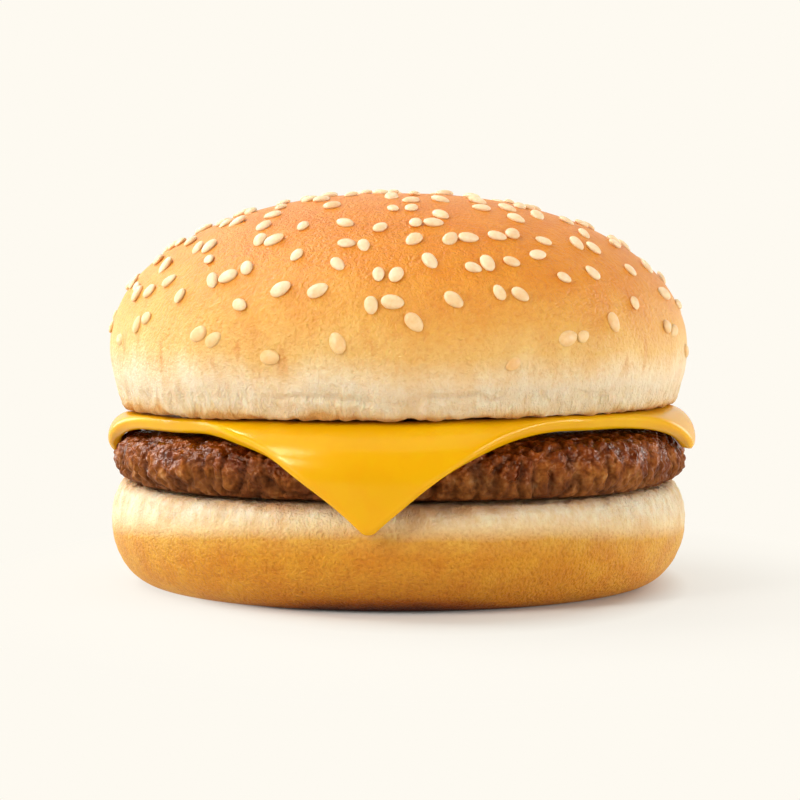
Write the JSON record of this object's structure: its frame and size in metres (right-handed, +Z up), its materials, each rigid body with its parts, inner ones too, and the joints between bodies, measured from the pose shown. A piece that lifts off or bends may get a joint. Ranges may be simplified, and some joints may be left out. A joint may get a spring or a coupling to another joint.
{
  "type": "cheeseburger",
  "caption": "Round sesame bun cut in two, with a seared beef patty and a square slice of cheese whose corner hangs down in front.",
  "frame": {"origin": "centre of the flat base the burger rests on", "axes": "+Z up; -Y to the front, where the corner of the cheese hangs lowest; +X to the right seen from the front"},
  "size_m": [0.1004, 0.1025, 0.0668],
  "materials": {
    "bottom_crust": "baked bun crust, golden, with a pale soft edge at the cut",
    "top_crust": "baked bun crust, golden orange on top, pale at the cut, faint sheen",
    "sesame": "hulled sesame seed, cream, faint sheen",
    "beef": "seared minced beef, brown, moist",
    "cheese": "sliced processed cheese, yellow, smooth and slightly glossy"
  },
  "bodies": {
    "root": {"bottom_bun": "bottom_crust", "patty": "beef", "cheese": "cheese", "top_bun": "top_crust"}
  },
  "joints": []
}
